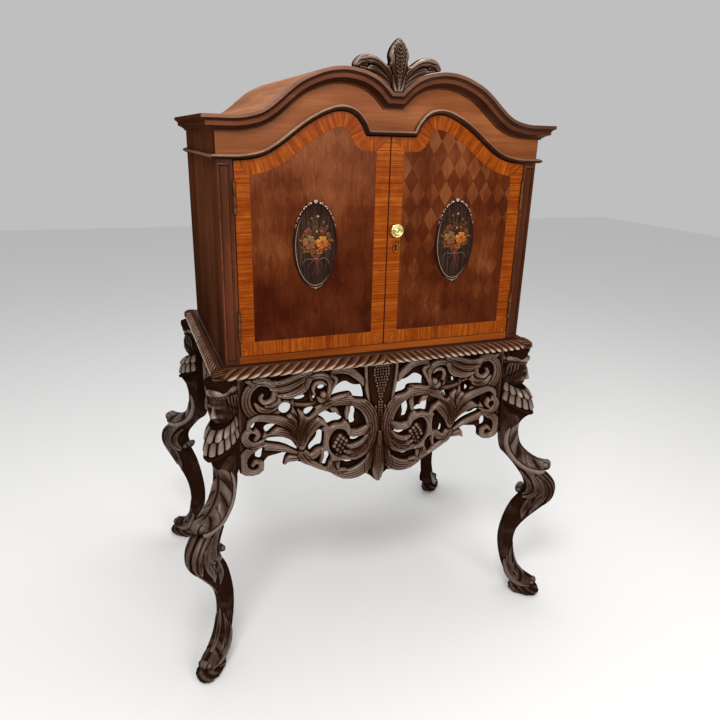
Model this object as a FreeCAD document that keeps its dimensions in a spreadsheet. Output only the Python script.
import FreeCAD, Part
import math
import os
from FreeCAD import Vector, Placement, Rotation

# Two-door cabinet on a carved stand.
# Frame: X to the right, Y away from the viewer (doors face -Y), Z up,
# origin on the floor under the middle of the object, millimetres.

doc = FreeCAD.newDocument("cabinet_on_stand")

# ---------------------------------------------------------------- dimensions
sheet = doc.addObject("Spreadsheet::Sheet", "dims")
CELLS = [
    ("stand_height", 908), ("case_width", 880), ("case_depth", 570),
    ("side_thick", 20), ("front_thick", 22), ("side_height", 593),
    ("bottom_thick", 20), ("back_thick", 10), ("shelf_thick", 18),
    ("lower_shelf_z", 200), ("upper_shelf_z", 392), ("pilaster_width", 38),
    ("pilaster_height", 510), ("panel_sink", 3), ("rail_height", 21),
    ("roof_thick", 14), ("door_sill_z", 22.5), ("door_edge_x", 400),
    ("door_meet_gap", 2), ("door_top_gap", 3), ("waist_proj", 13),
    ("waist_height", 11), ("cornice_proj", 32), ("cornice_height", 36.5),
    ("crest_thick", 16), ("medallion_x", 200), ("medallion_z", 303),
    ("medallion_thick", 3), ("ring_thick", 7), ("hinge_x", 401),
    ("hinge_y", -289.4), ("hinge_len", 72), ("hinge_low_z", 105),
    ("hinge_high_z", 424), ("leaf_thick", 2), ("knuckle_r", 4),
    ("pin_r", 2), ("bore_r", 2.05), ("screw_r", 1.5), ("knob_x", 22),
    ("knob_z", 337), ("keyhole_x", 24), ("keyhole_z", 290),
    ("plate_thick", 1.5), ("lock_thick", 14), ("lock_travel", 9),
    ("slide_r", 3), ("slide_bore_r", 3.08), ("slide_x", -20),
    ("slide_y", -257), ("stand_top_w", 904), ("stand_top_d", 580),
    ("stand_top_t", 30), ("rope_proj", 25), ("post_size", 48),
    ("post_x", 437), ("post_y", 262), ("post_height", 314),
    ("apron_thick", 26), ("leg_half", 27), ("mask_half", 38),
    ("collar_half", 43), ("leg_x", 440), ("leg_y", 265),
    ("foot_height", 31), ("back_rail_h", 80), ("cleat_size", 15),
]
for row, (alias, value) in enumerate(CELLS, start=1):
    sheet.set("A%d" % row, alias)
    sheet.set("B%d" % row, str(value))
    sheet.setAlias("B%d" % row, alias)
doc.recompute()


def dim(alias):
    return float(getattr(sheet, alias))


ZC = dim("stand_height")            # underside of the case
FRONT = -dim("case_depth") / 2.0    # front face of the case
BACK = dim("case_depth") / 2.0
FT = dim("front_thick")
INNER = FRONT + FT                  # back of the front frame and doors
HALF = dim("case_width") / 2.0

nodes = []                          # finished sub-parts


# ---------------------------------------------------------------- helpers
def make_body(label, base=(0, 0, 0), rot=None):
    body = doc.addObject("PartDesign::Body", label)
    body.Label = label
    body.Placement = Placement(Vector(*base), rot or Rotation())
    nodes.append(body)
    return body


def origin_plane(body, role):
    for feature in body.Origin.OriginFeatures:
        if feature.Role == role:
            return feature


def add_loop(sk, loop):
    """A loop is a list of points (closed polygon) or a list of pieces:
    ("line", p, q), ("spline", points), ("circle", x, y, r),
    ("ellipse", x, y, rx, rz), ("closed", points)."""
    if not isinstance(loop[0][0], str):
        pts = [Vector(p[0], p[1], 0) for p in loop]
        for a, b in zip(pts, pts[1:] + pts[:1]):
            sk.addGeometry(Part.LineSegment(a, b), False)
        return
    for piece in loop:
        kind = piece[0]
        if kind == "line":
            sk.addGeometry(Part.LineSegment(Vector(piece[1][0], piece[1][1], 0),
                                            Vector(piece[2][0], piece[2][1], 0)), False)
        elif kind == "spline":
            curve = Part.BSplineCurve()
            curve.interpolate([Vector(p[0], p[1], 0) for p in piece[1]])
            sk.addGeometry(curve, False)
        elif kind == "closed":
            curve = Part.BSplineCurve()
            curve.interpolate([Vector(p[0], p[1], 0) for p in piece[1]],
                              PeriodicFlag=True)
            sk.addGeometry(curve, False)
        elif kind == "circle":
            sk.addGeometry(Part.Circle(Vector(piece[1], piece[2], 0),
                                       Vector(0, 0, 1), piece[3]), False)
        elif kind == "ellipse":
            _, x, y, rx, ry = piece
            if rx >= ry:
                curve = Part.Ellipse(Vector(x + rx, y, 0), Vector(x, y + ry, 0),
                                     Vector(x, y, 0))
            else:
                curve = Part.Ellipse(Vector(x, y + ry, 0), Vector(x - rx, y, 0),
                                     Vector(x, y, 0))
            sk.addGeometry(curve, False)


def make_sketch(body, name, role, loops, offset=0.0):
    sk = body.newObject("Sketcher::SketchObject", name)
    sk.AttachmentSupport = [(origin_plane(body, role), "")]
    sk.MapMode = "FlatFace"
    if offset:
        sk.AttachmentOffset = Placement(Vector(0, 0, offset), Rotation())
    for loop in loops:
        add_loop(sk, loop)
    return sk


def pad(body, name, role, loops, length, offset=0.0, reverse=False, both=False):
    sk = make_sketch(body, name + "_sketch", role, loops, offset)
    feature = body.newObject("PartDesign::Pad", name)
    feature.Profile = sk
    if isinstance(length, str):
        feature.setExpression("Length", length)
    else:
        feature.Length = length
    if both:
        feature.SideType = "Symmetric"
    feature.Reversed = reverse
    body.Tip = feature
    return feature


def pocket(body, name, role, loops, length, offset=0.0, reverse=False):
    sk = make_sketch(body, name + "_sketch", role, loops, offset)
    feature = body.newObject("PartDesign::Pocket", name)
    feature.Profile = sk
    if isinstance(length, str):
        feature.setExpression("Length", length)
    else:
        feature.Length = length
    feature.Reversed = reverse
    body.Tip = feature
    return feature


def plate(label, loops, y_back, thick):
    """A board standing in the XZ plane: its back face at y_back, growing
    towards the viewer; loop heights are measured from the case underside."""
    body = make_body(label, (0, y_back, ZC))
    pad(body, label + "_pad", "XZ_Plane", loops, thick)
    return body


def box(label, size, pos, keep=True):
    """Part::Box with its sizes and place bound to the sheet."""
    b = doc.addObject("Part::Box", label)
    b.Label = label
    for prop, expr in zip(("Length", "Width", "Height"), size):
        if isinstance(expr, str):
            b.setExpression(prop, expr)
        else:
            setattr(b, prop, expr)
    for prop, expr in zip(("x", "y", "z"), pos):
        if isinstance(expr, str):
            b.setExpression(".Placement.Base." + prop, expr)
        else:
            b.Placement = Placement(Vector(*[expr if p == prop else getattr(b.Placement.Base, p)
                                             for p in "xyz"]), Rotation())
    if keep:
        nodes.append(b)
    return b


def cylinder(label, radius, height, base, axis=(0, 0, 1), keep=False):
    c = doc.addObject("Part::Cylinder", label)
    c.Label = label
    if isinstance(radius, str):
        c.setExpression("Radius", radius)
    else:
        c.Radius = radius
    if isinstance(height, str):
        c.setExpression("Height", height)
    else:
        c.Height = height
    c.Placement = Placement(Vector(*base), Rotation(Vector(0, 0, 1), Vector(*axis)))
    if keep:
        nodes.append(c)
    return c


def fuse(label, shapes, keep=False):
    f = doc.addObject("Part::MultiFuse", label)
    f.Label = label
    f.Shapes = shapes
    if keep:
        nodes.append(f)
    return f


def cut(label, base, tool, keep=True):
    c = doc.addObject("Part::Cut", label)
    c.Label = label
    c.Base = base
    c.Tool = tool
    if keep:
        nodes.append(c)
    return c


def group(label, shapes):
    """Identical separate solids kept together under one label."""
    c = doc.addObject("Part::Compound", label)
    c.Label = label
    c.Links = shapes
    nodes.append(c)
    return c


def mirror_x(label, source):
    m = doc.addObject("Part::Mirroring", label)
    m.Label = label
    m.Source = source
    m.Normal = Vector(1, 0, 0)
    m.Base = Vector(0, 0, 0)
    nodes.append(m)
    return m


# ---------------------------------------------------------------- arch curves
# Half of the waist line (top of the doors) and of the frieze's upper line,
# as (distance from the middle, height above the case underside).
WAIST = [(66.5, 572), (70, 578), (77, 592), (87, 606), (100, 618), (115, 625),
         (133, 627.5), (150, 625.5), (175, 617), (200, 605), (225, 590),
         (250, 572), (275, 553), (300, 536), (325, 523), (350, 515.5),
         (375, 511.5), (390, 510.2), (400, 510), (440, 510), (470, 510)]
FRIEZE = [(27, 633), (40, 646), (50, 656), (75, 673), (100, 681), (132, 685),
          (150, 684), (175, 679), (200, 670), (225, 658), (250, 640),
          (275, 619), (300, 600), (325, 586), (350, 578), (380, 572.5),
          (400, 571), (440, 571), (500, 571)]


def hermite(points, x):
    """Smooth curve through the points, flat where they are flat."""
    n = len(points)
    slopes = []
    secant = [(points[i + 1][1] - points[i][1]) / (points[i + 1][0] - points[i][0])
              for i in range(n - 1)]
    for i in range(n):
        if i == 0:
            slopes.append(secant[0])
        elif i == n - 1:
            slopes.append(secant[-1])
        elif secant[i - 1] * secant[i] <= 0:
            slopes.append(0.0)
        else:
            h0 = points[i][0] - points[i - 1][0]
            h1 = points[i + 1][0] - points[i][0]
            w0, w1 = 2 * h1 + h0, h1 + 2 * h0
            slopes.append((w0 + w1) / (w0 / secant[i - 1] + w1 / secant[i]))
    if x <= points[0][0]:
        return points[0][1]
    for i in range(n - 1):
        if x <= points[i + 1][0]:
            h = points[i + 1][0] - points[i][0]
            t = (x - points[i][0]) / h
            return ((2 * t ** 3 - 3 * t * t + 1) * points[i][1]
                    + (t ** 3 - 2 * t * t + t) * h * slopes[i]
                    + (3 * t * t - 2 * t ** 3) * points[i + 1][1]
                    + (t ** 3 - t * t) * h * slopes[i + 1])
    return points[-1][1]


def shifted(points, x, off):
    """Height at x of the curve moved square to itself by off (up or down)."""
    if off == 0:
        return hermite(points, abs(x))
    r = abs(off)
    best = None
    steps = 240
    for k in range(steps + 1):
        dx = -r + 2.0 * r * k / steps
        h = hermite(points, abs(x + dx))
        lift = math.sqrt(max(0.0, r * r - dx * dx))
        value = h + lift if off > 0 else h - lift
        if best is None or (value > best if off > 0 else value < best):
            best = value
    return best


def arch(points, off, x_end, step=9.0):
    """Right half of a shifted curve: the corner where the level middle ends,
    then the points out to x_end."""
    flat = points[0][1] + off
    if off > 0:
        lo, hi = 0.0, points[0][0]
        for _ in range(40):
            mid = (lo + hi) / 2
            if shifted(points, mid, off) > flat + 1e-4:
                hi = mid
            else:
                lo = mid
        corner = hi
    else:
        corner = points[0][0]
    xs = [corner]
    if off < 0:
        xs += [corner + d for d in (0.8, 1.6, 2.2, 2.8, 3.6, 5.5, 8.5, 13)]
    elif off == 0:
        xs += [corner + d for d in (1.6, 4, 8, 13)]
    else:
        xs += [corner + d for d in (3, 7, 12)]
    x = xs[-1] + step
    while x < x_end - step * 0.6:
        xs.append(x)
        x += step
    xs.append(x_end)
    return [(x, flat if i == 0 else shifted(points, x, off)) for i, x in enumerate(xs)]


def across(curve):
    """Pieces of a whole symmetric line from -x to +x."""
    left = [(-x, z) for x, z in reversed(curve)]
    return [("spline", left), ("line", left[-1], curve[0]), ("spline", curve)]


def band(lower, upper):
    """Closed loop between two symmetric curves with the same end x."""
    lo, up = across(lower), across(upper)
    a, b = lower[-1], upper[-1]
    return lo + up + [("line", a, b), ("line", (-a[0], a[1]), (-b[0], b[1]))]


# ---------------------------------------------------------------- case carcass
side = ("dims.side_thick", "dims.case_depth - dims.front_thick", "dims.side_height")
box("case_side_left", side,
    ("-dims.case_width / 2", "-dims.case_depth / 2 + dims.front_thick", "dims.stand_height"))
box("case_side_right", side,
    ("dims.case_width / 2 - dims.side_thick",
     "-dims.case_depth / 2 + dims.front_thick", "dims.stand_height"))

bottom_board = box("bottom_board", ("dims.case_width - 2 * dims.side_thick",
                                    "dims.case_depth - dims.front_thick - dims.back_thick - 1",
                                    "dims.bottom_thick"),
                   ("-dims.case_width / 2 + dims.side_thick",
                    "-dims.case_depth / 2 + dims.front_thick + 1", "dims.stand_height"),
                   keep=False)
bolt_socket = cylinder("bolt_socket", 3.4, 14, (dim("slide_x"), dim("slide_y"), ZC + 8))
cut("case_bottom", bottom_board, bolt_socket)

box("base_rail", ("dims.case_width - 2 * dims.pilaster_width", "dims.front_thick",
                  "dims.rail_height"),
    ("-dims.case_width / 2 + dims.pilaster_width", "-dims.case_depth / 2",
     "dims.stand_height"))

shelf = ("dims.case_width - 2 * dims.side_thick",
         "dims.case_depth - 45 - dims.back_thick", "dims.shelf_thick")
box("shelf_lower", shelf, ("-dims.case_width / 2 + dims.side_thick",
                           "-dims.case_depth / 2 + 45",
                           "dims.stand_height + dims.lower_shelf_z"))
box("shelf_upper", shelf, ("-dims.case_width / 2 + dims.side_thick",
                           "-dims.case_depth / 2 + 45",
                           "dims.stand_height + dims.upper_shelf_z"))
cleats = []
for zname in ("lower_shelf_z", "upper_shelf_z"):
    for xpos, tag in (("-dims.case_width / 2 + dims.side_thick", "l"),
                      ("dims.case_width / 2 - dims.side_thick - dims.cleat_size", "r")):
        cleats.append(box("cleat_%s_%s" % (zname[:5], tag),
                          ("dims.cleat_size", "dims.case_depth - 70", "18"),
                          (xpos, "-dims.case_depth / 2 + 50",
                           "dims.stand_height + dims.%s - 18" % zname), keep=False))
group("shelf_cleats", cleats)

stops = [box("stop_%s" % tag, ("320", "12", "10"),
             (xpos, "-dims.case_depth / 2 + dims.front_thick + 1",
              "dims.stand_height + dims.bottom_thick"), keep=False)
         for tag, xpos in (("left", -380), ("right", 60))]
group("door_stops", stops)

# Front frame: pilasters with a sunk panel.
for tag, sign in (("left", -1), ("right", 1)):
    pw = dim("pilaster_width")
    x0, x1 = sorted((sign * HALF, sign * (HALF - pw)))
    body = make_body("pilaster_" + tag, (0, INNER, ZC))
    pad(body, "pilaster_pad_" + tag, "XZ_Plane",
        [[(x0, 0), (x1, 0), (x1, dim("pilaster_height")), (x0, dim("pilaster_height"))]],
        "dims.front_thick")
    pocket(body, "pilaster_panel_" + tag, "XZ_Plane",
           [[(x0 + 7, 12), (x1 - 9, 12), (x1 - 9, 497), (x0 + 7, 497)]] if sign < 0 else
           [[(x0 + 9, 12), (x1 - 7, 12), (x1 - 7, 497), (x0 + 9, 497)]],
           "dims.panel_sink", offset=FT)
    # mortises for the hinge leaves, in the face towards the door
    xe = sign * (HALF - pw)
    for zname in ("hinge_low_z", "hinge_high_z"):
        z = dim(zname)
        half = dim("hinge_len") / 2
        xm = sorted((xe, xe + sign * 1.4))
        pocket(body, "mortise_%s_%s" % (tag, zname[6:9]), "XZ_Plane",
               [[(xm[0], z - half), (xm[1], z - half), (xm[1], z + half), (xm[0], z + half)]],
               20.0, offset=FT)

# Arched board above the doors; its top carries the roof's front edge.
CORNICE_H = dim("cornice_height")
waist_line = arch(WAIST, 0, HALF)
roof_line = arch(FRIEZE, CORNICE_H, HALF)
plate("frieze", [band(waist_line, roof_line)], INNER, "dims.front_thick")

# Roof: the same line carried from front to back, open underneath.
under = [(x, z - dim("roof_thick")) for x, z in roof_line]
body = make_body("roof_shell", (0, BACK, ZC))
pad(body, "roof_pad", "XZ_Plane", [band(under, roof_line)],
    "dims.case_depth - dims.front_thick")

inner_x = HALF - dim("side_thick")
back_curve = [(x, z) for x, z in under if x < inner_x - 3]
back_curve.append((inner_x, shifted(FRIEZE, inner_x, CORNICE_H) - dim("roof_thick")))
plate("back_panel", [across(back_curve) + [
    ("line", back_curve[-1], (inner_x, 0)), ("line", (inner_x, 0), (-inner_x, 0)),
    ("line", (-inner_x, 0), (-back_curve[-1][0], back_curve[-1][1]))]],
    BACK, "dims.back_thick")

# ---------------------------------------------------------------- mouldings
WP = dim("waist_proj")
body = make_body("waist_moulding_front", (0, FRONT, ZC))
pad(body, "waist_base", "XZ_Plane",
    [band(arch(WAIST, 0, HALF + WP), arch(WAIST, dim("waist_height"), HALF + WP))],
    "dims.waist_proj - 4")
pad(body, "waist_nose", "XZ_Plane",
    [band(arch(WAIST, 3, HALF + WP), arch(WAIST, 9, HALF + WP))], "dims.waist_proj")
for tag, sign in (("left", -1), ("right", 1)):
    x0 = sign * HALF
    body = make_body("waist_moulding_" + tag, (0, BACK, ZC))
    pad(body, "waist_side_" + tag, "XZ_Plane",
        [[(x0, 510), (x0 + sign * 9, 510), (x0 + sign * WP, 513),
          (x0 + sign * WP, 519), (x0 + sign * 9, 521), (x0, 521)]],
        "dims.case_depth")

# Stepped cornice: (bottom, top, projection) of each step above the frieze.
STEPS = [(0.0, 5.0, 5.0), (5.0, 12.0, 10.0), (12.0, 19.0, 16.0),
         (19.0, 26.5, 24.0), (26.5, CORNICE_H, dim("cornice_proj"))]
body = make_body("cornice_front", (0, FRONT, ZC))
for k, (low, high, proj) in enumerate(STEPS):
    end = HALF + proj
    pad(body, "cornice_step_%d" % k, "XZ_Plane",
        [band(arch(FRIEZE, low, end), arch(FRIEZE, high, end))],
        "dims.cornice_proj * %.4f" % (proj / dim("cornice_proj")))
for tag, sign in (("left", -1), ("right", 1)):
    x0 = sign * HALF
    outline = [(x0, 571.0)]
    for low, high, proj in STEPS:
        outline += [(x0 + sign * proj, 571.0 + low), (x0 + sign * proj, 571.0 + high)]
    outline.append((x0, 571.0 + CORNICE_H))
    body = make_body("cornice_" + tag, (0, BACK, ZC))
    pad(body, "cornice_side_" + tag, "XZ_Plane", [outline], "dims.case_depth")

# Carved crest standing on the cornice in the middle.
# Its lower edge follows the cornice's top line and clears it by about 1 mm.
half_crest = [(0, 669.5), (10, 669.5), (12, 671.0), (16, 675.4), (20, 679.6), (25, 684.3),
              (30, 688.6), (40, 696.2), (50, 702.7), (60, 708.0), (70, 712.1), (80, 715.5),
              (90, 718.1), (100, 720.1), (108, 721.6), (114, 722.6), (116, 727), (113, 734),
              (106, 742), (97, 748), (85, 751.5), (70, 751), (56, 747), (43, 739), (33, 731),
              (26, 729), (23.5, 737), (26.5, 748), (25.5, 757), (21, 768), (14, 778),
              (6, 786), (0, 790)]
crest_outline = half_crest[:-1] + [(0, 790)] + [(-x, z) for x, z in reversed(half_crest[1:-1])]
plate("crest", [crest_outline], FRONT - 13, "dims.crest_thick")

# ---------------------------------------------------------------- doors
# Right door first: x from 0 to the hinge edge.
door_curve = arch(WAIST, -dim("door_top_gap"), dim("door_edge_x"))
DX = dim("door_edge_x")
SILL = dim("door_sill_z")
top_flat = door_curve[0]


def door(tag, sign, meet):
    body = make_body("door_" + tag, (0, INNER, ZC))
    curve = [(sign * x, z) for x, z in door_curve]
    start = (sign * meet, top_flat[1])
    loop = [("line", start, curve[0]), ("spline", curve),
            ("line", curve[-1], (sign * DX, SILL)),
            ("line", (sign * DX, SILL), (sign * meet, SILL)),
            ("line", (sign * meet, SILL), start)]
    pad(body, "door_pad_" + tag, "XZ_Plane", [loop], "dims.front_thick")
    for zname in ("hinge_low_z", "hinge_high_z"):
        z = dim(zname)
        half = dim("hinge_len") / 2
        xm = sorted((sign * DX, sign * (DX - 1.4)))
        pocket(body, "door_mortise_%s_%s" % (tag, zname[6:9]), "XZ_Plane",
               [[(xm[0], z - half), (xm[1], z - half), (xm[1], z + half), (xm[0], z + half)]],
               20.0, offset=FT)
    return body


door_left = door("left", -1, dim("door_meet_gap"))
door_right = door("right", 1, 0.0)
KX, KZ = dim("keyhole_x"), dim("keyhole_z")


def keyhole(radius, slot, drop):
    """Round hole with a slot under it, as a polygon."""
    pts = []
    start = math.asin(slot / radius)
    for k in range(17):
        a = -math.pi / 2 + start + (2 * math.pi - 2 * start) * k / 16
        pts.append((KX + radius * math.cos(a), KZ + 3 + radius * math.sin(a)))
    return pts + [(KX - slot, KZ + 3 - drop), (KX + slot, KZ + 3 - drop)]


pocket(door_right, "keyhole_cut", "XZ_Plane", [keyhole(3.2, 1.4, 10)],
       FT + 2, offset=FT + 1)

# Oval marquetry plaques and their carved ring frames.
MX, MZ = dim("medallion_x"), dim("medallion_z")
for tag, sign in (("left", -1), ("right", 1)):
    plate("medallion_" + tag, [[("ellipse", sign * MX, MZ, 51.8, 100.8)]],
          FRONT, "dims.medallion_thick")
    rim = []
    for k in range(72):
        a = 2 * math.pi * k / 72
        deg = math.degrees(a)
        grow = 0.0
        if 28 < deg < 152:
            grow = 11.0 * math.sin(math.radians((deg - 28) / 124 * 180)) ** 0.7
        elif 246 < deg < 294:
            grow = 7.0 * math.sin(math.radians((deg - 246) / 48 * 180)) ** 0.8
        rim.append((sign * MX + (58.5 + grow) * math.cos(a), MZ + (107.5 + grow) * math.sin(a)))
    plate("medallion_frame_" + tag,
          [[("closed", rim)], [("ellipse", sign * MX, MZ, 52.0, 101.0)]],
          FRONT, "dims.ring_thick")

# ---------------------------------------------------------------- hinges
HX, HY, HL = dim("hinge_x"), dim("hinge_y"), dim("hinge_len")
RING = (HL - 4 * 0.4) / 5.0         # length of one knuckle
LT = dim("leaf_thick")


def leaf_set(label, sign, fixed):
    """Leaves with their knuckles on one side of the case, both hinges.
    fixed leaves hold knuckles 0, 2 and 4, swinging leaves 1 and 3."""
    solids = []
    for zname in ("hinge_low_z", "hinge_high_z"):
        zb = ZC + dim(zname) - HL / 2
        tag = "%s_%s" % (label, zname[6:9])
        near = 0.4 if fixed else -0.4 - LT
        xa = HX + near if sign > 0 else -HX - near - LT
        blank = box("leaf_" + tag, ("dims.leaf_thick", "19", "dims.hinge_len"),
                    (xa, FRONT + 1.0, zb), keep=False)
        pieces = [blank]
        for k in range(5):
            if (k % 2 == 0) == fixed:
                z0 = zb + k * (RING + 0.4)
                pieces.append(box("lug_%s_%d" % (tag, k),
                                  ("dims.leaf_thick", 3.2, RING),
                                  (xa, FRONT - 2.0, z0), keep=False))
                pieces.append(cylinder("knuckle_%s_%d" % (tag, k), "dims.knuckle_r",
                                       RING, (sign * HX, HY, z0)))
        whole = fuse("whole_" + tag, pieces)
        holes = [cylinder("bore_" + tag, "dims.bore_r", HL + 2, (sign * HX, HY, zb - 1))]
        for k in range(3):
            holes.append(cylinder("screw_hole_%s_%d" % (tag, k), "dims.screw_r + 0.1",
                                  LT + 2, (xa - 1, FRONT + (9 if k != 1 else 14),
                                           zb + 12 + k * 24), (1, 0, 0)))
        solids.append(cut("leaves_" + tag, whole, fuse("holes_" + tag, holes), keep=False))
    return group(label, solids)


for tag, sign in (("left", -1), ("right", 1)):
    leaf_set("hinge_leaves_case_" + tag, sign, True)
    leaf_set("hinge_leaves_door_" + tag, sign, False)
    pins = []
    for zname in ("hinge_low_z", "hinge_high_z"):
        zb = ZC + dim(zname) - HL / 2
        shaft = cylinder("pin_%s_%s" % (tag, zname[6:9]), "dims.pin_r", HL + 4,
                         (sign * HX, HY, zb - 2))
        low = cylinder("pin_foot_%s_%s" % (tag, zname[6:9]), 3.4, 3, (sign * HX, HY, zb - 3))
        top = cylinder("pin_head_%s_%s" % (tag, zname[6:9]), 3.4, 3,
                       (sign * HX, HY, zb + HL))
        pins.append(fuse("pin_whole_%s_%s" % (tag, zname[6:9]), [shaft, low, top]))
    group("hinge_pins_" + tag, pins)


def hinge_screws(label, sides, fixed):
    """Screws sunk in the leaves, seen when a door is open."""
    solids = []
    for sign in sides:
        for zname in ("hinge_low_z", "hinge_high_z"):
            zb = ZC + dim(zname) - HL / 2
            near = 0.4 if fixed else -0.4 - LT
            xa = HX + near if sign > 0 else -HX - near - LT
            xm = xa + LT / 2
            into = sign if fixed else -sign
            for k in range(3):
                y = FRONT + (9 if k != 1 else 14)
                solids.append(cylinder("screw_%s_%d_%s_%d" % (label, sign, zname[6:9], k),
                                       "dims.screw_r", 10, (xm - into * 0.9, y, zb + 12 + k * 24),
                                       (into, 0, 0)))
    return group(label, solids)


hinge_screws("hinge_screws_case", (-1, 1), True)
hinge_screws("hinge_screws_door_left", (-1,), False)
hinge_screws("hinge_screws_door_right", (1,), False)

# ---------------------------------------------------------------- door fittings
knob = make_body("knob", (dim("knob_x"), FRONT, ZC + dim("knob_z")),
                 Rotation(Vector(1, 0, 0), 90))
profile = [(0, 0), (11, 0), (11, 1.6), (7.5, 2.8), (6, 4.6), (6.2, 7.2), (9.5, 9.4), (14.5, 11),
           (17.8, 13), (18.5, 15.2), (17.6, 17.4), (14.2, 18.8), (9, 19.6), (0, 20)]
knob_sketch = make_sketch(knob, "knob_sketch", "XZ_Plane", [profile])
turn = knob.newObject("PartDesign::Revolution", "knob_turn")
turn.Profile = knob_sketch
turn.ReferenceAxis = (knob_sketch, ["V_Axis"])
turn.Angle = 360
knob.Tip = turn

plate("escutcheon", [[("ellipse", KX, KZ, 9.5, 14.5)], keyhole(3.2, 1.4, 10)],
      FRONT, "dims.plate_thick")

# Rim lock on the back of the right door, with a channel for its bolt.
lock_block = box("lock_block", ("64", "dims.lock_thick", "60"),
                 (4, "-dims.case_depth / 2 + dims.front_thick", "dims.stand_height + 262"),
                 keep=False)
channel = box("lock_channel", (50, 6.8, 16.8),
              (2, INNER + 2.6, ZC + 283.6), keep=False)
key_bore = cylinder("lock_key_bore", 3.2, 5, (KX, INNER - 1, ZC + KZ + 3), (0, 1, 0))
cut("lock_case", lock_block, fuse("lock_voids", [channel, key_bore]))
box("lock_bolt", ("39", "6", "16"),
    (1, "-dims.case_depth / 2 + dims.front_thick + 3", "dims.stand_height + 284"))
keeper_block = box("keeper_block", ("27", "dims.lock_thick", "32"),
                   (-30, "-dims.case_depth / 2 + dims.front_thick", "dims.stand_height + 276"),
                   keep=False)
keeper_slot = box("keeper_slot", (12, 7.6, 18), (-14, INNER + 2.2, ZC + 283), keep=False)
cut("lock_keeper", keeper_block, keeper_slot)

# Two sliding bolts on the back of the left door, in guide straps.
SX, SY = dim("slide_x"), dim("slide_y")
guides = []
for tag, z0, z1, straps in (("up", 440, 556, (450, 540)), ("low", 34, 124, (44, 102))):
    parts_ = [box("guide_plate_" + tag, (24, "dims.plate_thick", z1 - z0),
                  (SX - 12, INNER, ZC + z0), keep=False)]
    for k, zs in enumerate(straps):
        parts_.append(box("guide_strap_%s_%d" % (tag, k), (14, 10, 12),
                          (SX - 7, INNER + 1, ZC + zs), keep=False))
    solid = fuse("guide_solid_" + tag, parts_)
    bore = cylinder("guide_bore_" + tag, "dims.slide_bore_r", z1 - z0 + 4,
                    (SX, SY, ZC + z0 - 2))
    guides.append(cut("guide_" + tag, solid, bore, keep=False))
group("bolt_guides", guides)
upper_rod = cylinder("upper_rod", "dims.slide_r", 130, (SX, SY, ZC + 436))
upper_tab = cylinder("upper_tab", 3.5, 12, (SX, SY, ZC + 500), (0, 1, 0))
fuse("slip_bolt_upper", [upper_rod, upper_tab], keep=True)
lower_rod = cylinder("lower_rod", "dims.slide_r", 104, (SX, SY, ZC + 24))
lower_tab = cylinder("lower_tab", 3.5, 12, (SX, SY, ZC + 76), (0, 1, 0))
fuse("slip_bolt_lower", [lower_rod, lower_tab], keep=True)
catch_block = box("catch_block", (24, 13, 17), (SX - 12, INNER, ZC + 573), keep=False)
catch_bore = cylinder("catch_bore", 3.4, 21, (SX, SY, ZC + 571))
cut("slip_bolt_keeper", catch_block, catch_bore)

# ---------------------------------------------------------------- stand
box("stand_top", ("dims.stand_top_w", "dims.stand_top_d", "dims.stand_top_t"),
    ("-dims.stand_top_w / 2", "-dims.stand_top_d / 2",
     "dims.stand_height - dims.stand_top_t"))

rope = [(0, -2), (7, -2), (15, -4), (21, -8.5), (25, -15), (24.5, -21), (20, -26.5),
        (13, -30), (0, -30)]
RX, RY = dim("stand_top_w") / 2, dim("stand_top_d") / 2
for tag, sign in (("left", -1), ("right", 1)):
    body = make_body("rope_moulding_" + tag, (0, RY, ZC))
    pad(body, "rope_pad_" + tag, "XZ_Plane",
        [[(sign * (RX + u), z) for u, z in rope]], "dims.stand_top_d")
for tag, sign in (("front", -1), ("back", 1)):
    body = make_body("rope_moulding_" + tag, (0, 0, ZC))
    # sketch in the YZ plane: first axis is Y
    pad(body, "rope_pad_" + tag, "YZ_Plane",
        [[(sign * (RY + u), z) for u, z in rope]],
        "dims.stand_top_w + 2 * dims.rope_proj", both=True)

# Leg: outline in the diagonal plane, distance outwards from the post centre
# against height under the case, and thicker blocks for head, collar and foot.
LEG = [(-11, -30), (57, -30), (57, -150), (70, -252), (58, -268), (50, -292), (48, -310),
       (52, -336), (64, -360), (84, -380), (106, -391), (128, -395), (140, -391),
       (154, -392), (167, -402), (164, -416), (152, -428), (148, -434), (162, -444),
       (176, -458), (186, -478), (188, -500), (181, -522), (166, -546), (149, -568),
       (129, -594), (109, -622), (92, -652), (82, -684), (79, -710), (80, -742),
       (86, -775), (97, -806), (112, -826), (130, -838), (145, -840), (160, -845),
       (171, -855), (174, -866), (174, -884), (90, -884), (86, -870), (74, -856),
       (60, -836), (48, -811), (38, -782), (30, -748), (26, -714), (27, -680),
       (33, -642), (42, -606), (55, -571), (68, -546), (80, -530), (72, -520),
       (69, -508), (75, -499), (90, -494), (88, -478), (80, -460), (66, -442),
       (45, -418), (20, -395), (0, -377), (-10, -360), (-11, -345)]
HEAD = [(1, -50), (62, -50), (64, -58), (62, -68), (57, -74), (60, -104), (57, -136),
        (50, -150), (42, -158), (1, -158)]
COLLAR = [(6, -154), (44, -154), (60, -170), (78, -181), (86, -200), (95, -226),
          (93, -238), (84, -246), (70, -252), (6, -252)]


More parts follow.
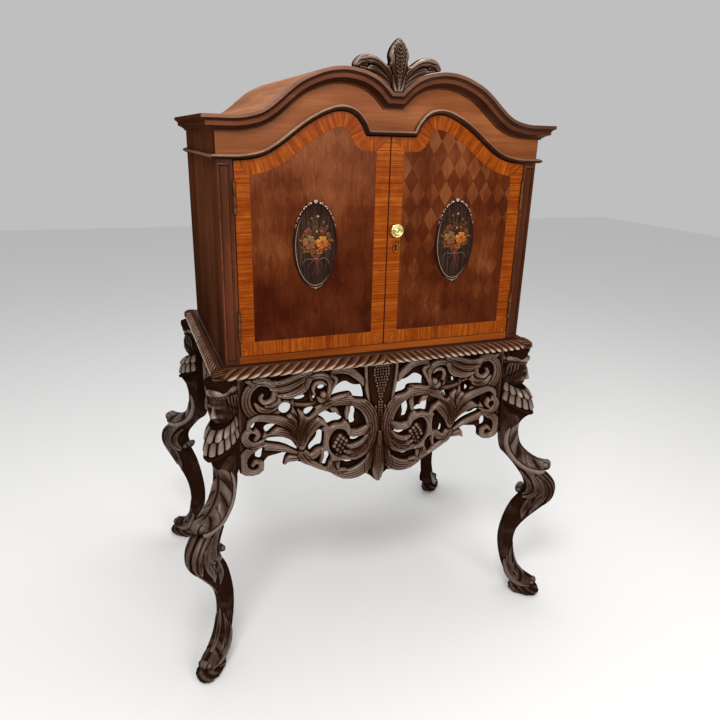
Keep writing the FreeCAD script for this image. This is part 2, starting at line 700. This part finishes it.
def leg(tag, sx, sy):
    angle = math.degrees(math.atan2(sy, sx))
    body = make_body("leg_" + tag, (sx * dim("leg_x"), sy * dim("leg_y"), ZC),
                     Rotation(Vector(0, 0, 1), angle))
    pad(body, "leg_shape_" + tag, "XZ_Plane", [LEG], "2 * dims.leg_half", both=True)
    pad(body, "leg_head_" + tag, "XZ_Plane", [HEAD], "2 * dims.mask_half", both=True)
    pad(body, "leg_collar_" + tag, "XZ_Plane", [COLLAR], "2 * dims.collar_half", both=True)
    # square post behind the head, its faces in line with the aprons
    h = dim("post_size") / 2 * math.sqrt(2)
    c = -(dim("leg_x") - dim("post_x")) * math.sqrt(2)
    pad(body, "leg_post_" + tag, "XY_Plane",
        [[(c - h, 0), (c, -h), (c + h, 0), (c, h)]],
        "dims.post_height", offset=-dim("stand_top_t") - dim("post_height"))
    pad(body, "leg_foot_" + tag, "XY_Plane", [[("ellipse", 132.5, 0, 52.5, 34)]],
        "dims.foot_height", offset=-ZC)
    return body


leg("front_left", -1, -1)
leg("front_right", 1, -1)
leg("back_left", -1, 1)
leg("back_right", 1, 1)

# Pierced front apron: half outline and half of its openings, mirrored.
PI = dim("post_x") - dim("post_size") / 2        # inner face of the posts
half_low = [(PI, -324), (401, -331), (382, -335), (360, -332), (346, -321), (344, -298),
            (332, -285), (310, -282), (291, -279), (276, -282), (285, -296), (290, -317),
            (272, -313), (254, -312), (235, -320), (210, -334), (185, -349), (152, -365),
            (132, -381), (113, -393), (88, -398), (66, -398), (51, -393), (38, -388),
            (29, -396), (18, -404), (8, -416)]
outline = ([(-PI, -30), (PI, -30)] + half_low + [(0, -419)]
           + [(-x, z) for x, z in reversed(half_low)])
half_holes = [
    [(-184, -86), (-171, -86), (-165, -93), (-171, -101), (-184, -101), (-190, -93)],
    [(-204, -114), (-195, -116), (-194, -127), (-201, -129)],
    [(-258, -112), (-243, -108), (-224, -112), (-224, -121), (-241, -126), (-257, -122)],
    [(-300, -130), (-285, -124), (-266, -132), (-264, -148), (-274, -161), (-288, -162),
     (-300, -150)],
    [(-233, -151), (-190, -149), (-221, -181)],
    [(-155, -127), (-144, -106), (-129, -90), (-107, -81), (-91, -93), (-76, -99),
     (-57, -98), (-46, -143), (-57, -140), (-85, -135), (-87, -117), (-116, -118),
     (-135, -121)],
    [(-191, -177), (-183, -170), (-172, -166), (-160, -169), (-147, -179), (-135, -171),
     (-129, -184), (-111, -196), (-119, -206), (-141, -204), (-158, -212), (-163, -202),
     (-169, -191)],
    [(-91, -159), (-82, -163), (-72, -177), (-77, -202), (-72, -217), (-88, -221),
     (-94, -206), (-97, -190), (-91, -173)],
    [(-90, -260), (-69, -257), (-47, -259), (-60, -270), (-72, -276), (-87, -271)],
    [(-191, -226), (-180, -223), (-172, -226), (-174, -273), (-185, -273), (-197, -276),
     (-212, -290), (-216, -271), (-210, -262), (-197, -249), (-191, -237)],
    [(-172, -288), (-160, -292), (-149, -312), (-158, -327), (-162, -343), (-174, -337),
     (-177, -323), (-168, -306)],
    [(-118, -327), (-101, -331), (-74, -334), (-71, -340), (-85, -346), (-97, -346),
     (-108, -338)],
    [(-380, -185), (-369, -171), (-362, -170), (-366, -184), (-374, -198)],
    [(-344, -190), (-326, -184), (-304, -190), (-322, -202), (-333, -213), (-340, -206)],
    [(-343, -229), (-326, -226), (-297, -229), (-272, -238), (-260, -252), (-243, -282),
     (-260, -271), (-285, -254), (-310, -245), (-340, -237)],
    [(-369, -270), (-366, -260), (-354, -252), (-344, -251), (-349, -271), (-351, -288),
     (-360, -288), (-369, -281)],
]
holes = half_holes + [[(-x, z) for x, z in reversed(h)] for h in half_holes]
plate("apron_front", [outline] + holes, FRONT + dim("apron_thick") - 2, "dims.apron_thick")

# Side aprons, between the posts.
SI = dim("post_y") - dim("post_size") / 2
side_low = [(SI, -324), (225, -332), (206, -333), (190, -324), (182, -300), (168, -288),
            (146, -284), (128, -290), (112, -300), (96, -318), (78, -334), (52, -345),
            (26, -350), (12, -362)]
side_outline = ([(-SI, -30), (SI, -30)] + side_low + [(0, -368)]
                + [(-x, z) for x, z in reversed(side_low)])
side_half = [
    [(30, -92), (58, -84), (84, -92), (92, -110), (70, -118), (46, -112), (32, -124)],
    [(118, -100), (140, -92), (156, -104), (150, -122), (130, -126), (116, -116)],
    [(34, -158), (58, -150), (70, -170), (60, -196), (42, -206), (34, -186)],
    [(104, -150), (132, -154), (150, -172), (138, -190), (114, -186), (98, -168)],
    [(176, -196), (192, -182), (206, -188), (204, -212), (186, -218)],
    [(30, -246), (56, -238), (80, -250), (84, -270), (60, -282), (36, -276)],
    [(108, -222), (140, -218), (168, -232), (160, -252), (128, -258), (106, -246)],
    [(194, -262), (208, -254), (218, -268), (212, -290), (198, -286)],
]
side_holes = side_half + [[(-x, z) for x, z in reversed(h)] for h in side_half]
for tag, sign in (("left", -1), ("right", 1)):
    # local X runs along the depth; local -Y points outwards
    body = make_body("apron_" + tag,
                     (sign * (HALF + 5 - dim("apron_thick")), 0, ZC),
                     Rotation(Vector(0, 0, 1), sign * 90.0))
    pad(body, "apron_pad_" + tag, "XZ_Plane", [side_outline] + side_holes,
        "dims.apron_thick")

box("back_rail", ("2 * (dims.post_x - dims.post_size / 2)", "dims.apron_thick",
                  "dims.back_rail_h"),
    ("-(dims.post_x - dims.post_size / 2)", "dims.case_depth / 2 - dims.apron_thick",
     "dims.stand_height - dims.stand_top_t - dims.back_rail_h"))

# Square glue blocks in the corners under the top, against post and apron.
corner_parts = []
for sx in (-1, 1):
    for sy in (-1, 1):
        yb = FRONT + dim("apron_thick") - 2 if sy < 0 else BACK - dim("apron_thick") - 34
        corner_parts.append(box("glue_block_%s%s" % ("r" if sx > 0 else "l", "b" if sy > 0 else "f"),
                                ("34", "34", "40"),
                                (PI - 34 if sx > 0 else -PI, yb,
                                 ZC - dim("stand_top_t") - 40), keep=False))
group("corner_blocks", corner_parts)

# Screws that hold the back panel to its frame; round heads stand proud.
screws = []
for k, (x, z) in enumerate([(-410, 40), (410, 40), (-410, 290), (410, 290),
                            (-410, 540), (410, 540), (-140, 11), (140, 11)]):
    head = cylinder("back_head_%d" % k, 4, 1.5, (x, BACK, ZC + z), (0, 1, 0))
    screws.append(head)
group("back_screws", screws)

# ---------------------------------------------------------------- output
doc.recompute()
bad = []
for obj in doc.Objects:
    if "Invalid" in obj.State or "Error" in obj.State:
        bad.append("%s: %s" % (obj.Label, obj.State))
for node in nodes:
    shape = node.Shape
    if shape.isNull() or not shape.isValid() or not shape.Solids:
        bad.append("%s: shape is null, invalid or holds no solid" % node.Label)
if bad:
    raise SystemExit("failed objects:\n" + "\n".join(bad))
labels = [node.Label for node in nodes]
if len(set(labels)) != len(labels) or len(labels) > 60:
    raise SystemExit("node names repeat or are too many: %d" % len(labels))

os.makedirs("parts", exist_ok=True)
for node in nodes:
    node.Shape.exportStep("parts/%s.step" % node.Label)
print("wrote %d parts" % len(nodes))
